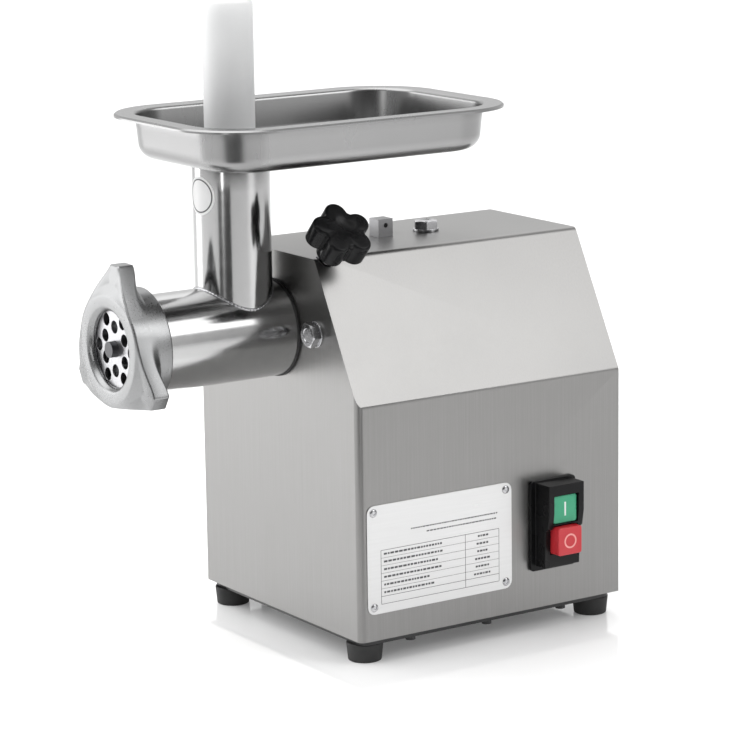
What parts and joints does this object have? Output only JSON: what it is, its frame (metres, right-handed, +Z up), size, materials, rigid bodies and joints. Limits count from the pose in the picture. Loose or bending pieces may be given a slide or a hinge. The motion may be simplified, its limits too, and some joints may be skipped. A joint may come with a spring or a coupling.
{
  "type": "electric meat grinder",
  "caption": "Electric meat grinder: bent sheet casing with a motor and gearbox, pull-out grinding head with screw ring, feed tube, food tray, pusher, star-knob lock and push buttons.",
  "frame": {"origin": "bottom middle of the part's bounding box", "axes": "+Z up, -Y towards the grinding head's outlet, +X towards the switch side"},
  "size_m": [0.2486, 0.3968, 0.488],
  "materials": {
    "casing_sheet": "brushed vertically",
    "polished_steel": "polished",
    "bolt_steel": "machined",
    "bearing_steel": "ground",
    "gear_steel": "cut",
    "plate_steel": "ground",
    "cast_alloy": "satin cast",
    "plate_alloy": "satin",
    "core_iron": "laminated",
    "copper_wire": "enamelled",
    "bronze": "satin",
    "black_paint": "satin",
    "black_plastic": "matte",
    "black_rubber": "matte",
    "white_plastic": "satin",
    "pale_plastic": "matte",
    "green_plastic": "satin",
    "red_plastic": "satin",
    "label_film": "printed",
    "lead_insulation": "matte"
  },
  "bodies": {
    "machine": {"casing_cover": "casing_sheet", "rear_panel": "casing_sheet", "base_slab": "black_paint", "rubber_feet": "black_rubber", "foot_screws": "bolt_steel", "base_screws": "black_paint", "rear_screws": "bolt_steel", "gearbox_housing": "cast_alloy", "gearbox_cover": "cast_alloy", "gearbox_screws": "bolt_steel", "flange_bolts": "bolt_steel", "flange_washers": "bolt_steel", "head_gasket": "black_rubber", "output_bearings": "bearing_steel", "layshaft_bearings": "bearing_steel", "motor_bearings": "bearing_steel", "output_seal": "black_rubber", "motor_shell": "cast_alloy", "stator_core": "core_iron", "stator_windings": "copper_wire", "motor_rear_bell": "cast_alloy", "motor_cradle": "black_paint", "motor_cradle_screws": "bolt_steel", "capacitor": "pale_plastic", "capacitor_clamp": "bolt_steel", "terminal_block": "pale_plastic", "wiring": "lead_insulation", "switch_housing": "black_plastic", "start_spring": "bearing_steel", "stop_spring": "bearing_steel", "rating_plate": "plate_alloy", "plate_rivets": "plate_alloy", "top_bracket": "black_paint", "top_bolt": "bolt_steel", "top_washer": "bolt_steel", "top_lug": "bolt_steel", "cable_gland": "black_plastic"},
    "rotor": {"rotor_core": "core_iron", "motor_shaft": "bearing_steel", "cooling_fan": "black_plastic"},
    "layshaft": {"layshaft_gear": "gear_steel", "layshaft_pinion": "gear_steel"},
    "output": {"output_gear": "gear_steel", "output_shaft": "bearing_steel"},
    "head": {"barrel": "polished_steel", "feed_tube": "polished_steel", "tube_label": "label_film", "shaft_bush": "bronze", "plate_pin": "bolt_steel", "grinder_plate": "plate_steel"},
    "worm": {"auger": "polished_steel", "thrust_washer": "white_plastic", "knife": "plate_steel"},
    "ring": {"ring_nut": "cast_alloy"},
    "tray_body": {"tray": "polished_steel"},
    "pusher_body": {"pusher": "white_plastic"},
    "lock": {"lock_knob": "black_plastic", "lock_screw": "bolt_steel"},
    "start": {"start_button": "green_plastic"},
    "stop": {"stop_button": "red_plastic"}
  },
  "joints": [
    {"name": "rotor_spin", "type": "hinge", "parent": "machine", "child": "rotor", "pos_m": [-0.01225, 0.0644, 0.1265], "axis": [0, 1, 0], "continuous": true},
    {"name": "layshaft_spin", "type": "hinge", "parent": "machine", "child": "layshaft", "pos_m": [-0.01225, 0.0644, 0.179], "axis": [0, 1, 0], "continuous": true},
    {"name": "output_spin", "type": "hinge", "parent": "machine", "child": "output", "pos_m": [-0.01225, 0.0644, 0.239], "axis": [0, 1, 0], "continuous": true},
    {"name": "head_slide", "type": "slide", "parent": "machine", "child": "head", "axis": [0, -1, 0], "range_m": [0, 0.06]},
    {"name": "auger_spin", "type": "hinge", "parent": "head", "child": "worm", "pos_m": [-0.01225, -0.0856, 0.239], "axis": [0, 1, 0], "continuous": true},
    {"name": "ring_nut_turn", "type": "hinge", "parent": "head", "child": "ring", "pos_m": [-0.01225, -0.1806, 0.239], "axis": [0, -1, 0], "range_deg": [0, 1080]},
    {"name": "tray_lift", "type": "slide", "parent": "head", "child": "tray_body", "axis": [0, 0, 1], "range_m": [0, 0.04]},
    {"name": "pusher_slide", "type": "slide", "parent": "head", "child": "pusher_body", "axis": [0, 0, 1], "range_m": [0, 0.14]},
    {"name": "lock_knob_turn", "type": "hinge", "parent": "machine", "child": "lock", "pos_m": [-0.01225, -0.0446, 0.239], "axis": [0.6947, 0, 0.7193], "range_deg": [0, 720]},
    {"name": "start_press", "type": "slide", "parent": "machine", "child": "start", "axis": [-1, 0, 0], "range_m": [0, 0.003], "stiffness_N_per_m": 900, "deforming": ["start_spring"]},
    {"name": "stop_press", "type": "slide", "parent": "machine", "child": "stop", "axis": [-1, 0, 0], "range_m": [0, 0.004], "stiffness_N_per_m": 900, "deforming": ["stop_spring"]}
  ],
  "couplings": [
    {"joint": "layshaft_spin", "follows": "rotor_spin", "ratio": -0.32075},
    {"joint": "output_spin", "follows": "rotor_spin", "ratio": 0.10692},
    {"joint": "auger_spin", "follows": "rotor_spin", "ratio": 0.10692}
  ]
}
